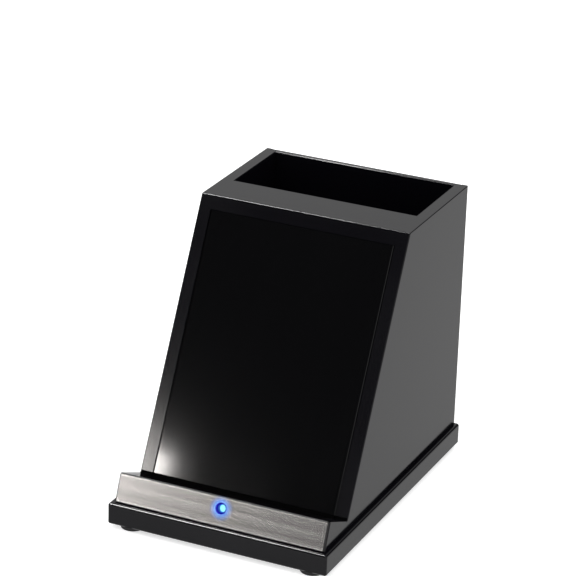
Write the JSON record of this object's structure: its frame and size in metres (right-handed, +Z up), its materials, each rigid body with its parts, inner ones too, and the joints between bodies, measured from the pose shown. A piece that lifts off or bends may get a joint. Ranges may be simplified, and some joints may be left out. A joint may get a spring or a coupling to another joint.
{
  "type": "wireless charger pen holder",
  "caption": "Black desk stand with a sloped charging back rest and ledge for a phone, a brushed metal lip with a blue lamp, and a pen well behind.",
  "frame": {"origin": "on the desk, under the middle of the base board", "axes": "+Z up, +Y to the back (the pen well), +X to the right as seen from the front"},
  "size_m": [0.095, 0.1366, 0.118],
  "materials": {
    "black_lacquer": "smooth satin black lacquer over board",
    "gloss_black": "polished black moulding",
    "brushed_metal": "long horizontal brushing, bright edges",
    "lamp": "clear blue lamp, lit",
    "foot_rubber": "matt",
    "felt": "short pressed felt",
    "bare_wood": "planed, unfinished",
    "copper": "enamelled copper wire, wound flat",
    "ferrite": "matt dark grey",
    "circuit_board": "green solder mask",
    "chip_plastic": "fine matt moulding",
    "capacitor": "tan ceramic with tinned ends",
    "header_plastic": "natural white moulding",
    "moulded_black": "matt black moulding",
    "steel": "zinc plated",
    "lead_sleeve": "matt dark sleeve"
  },
  "bodies": {
    "root": {"base_board": "black_lacquer", "left_side_panel": "black_lacquer", "right_side_panel": "black_lacquer", "back_panel": "black_lacquer", "well_front_wall": "black_lacquer", "top_rail": "black_lacquer", "charging_panel": "gloss_black", "lip_trim": "brushed_metal", "indicator_led": "lamp", "front_left_foot": "foot_rubber", "front_right_foot": "foot_rubber", "back_left_foot": "foot_rubber", "back_right_foot": "foot_rubber", "well_floor_pad": "felt", "left_glue_block": "bare_wood", "right_glue_block": "bare_wood", "left_cleat": "bare_wood", "right_cleat": "bare_wood", "base_dowels": "bare_wood", "lower_coil": "copper", "upper_coil": "copper", "coil_leads": "copper", "lower_ferrite": "ferrite", "upper_ferrite": "ferrite", "filter_inductor": "ferrite", "main_board": "circuit_board", "led_board": "circuit_board", "usb_board": "circuit_board", "controller_chip": "chip_plastic", "driver_chips": "chip_plastic", "tank_capacitors": "capacitor", "lead_headers": "header_plastic", "usb_lead_header": "header_plastic", "coil_tray": "moulded_black", "bottom_cover": "moulded_black", "inlet_bezel": "moulded_black", "usb_tongue": "moulded_black", "usb_socket": "steel", "base_screws": "steel", "cover_screws": "steel", "tray_screws": "steel", "board_screws": "steel", "cleat_screws": "steel", "power_lead": "lead_sleeve", "led_lead": "lead_sleeve"}
  },
  "joints": []
}
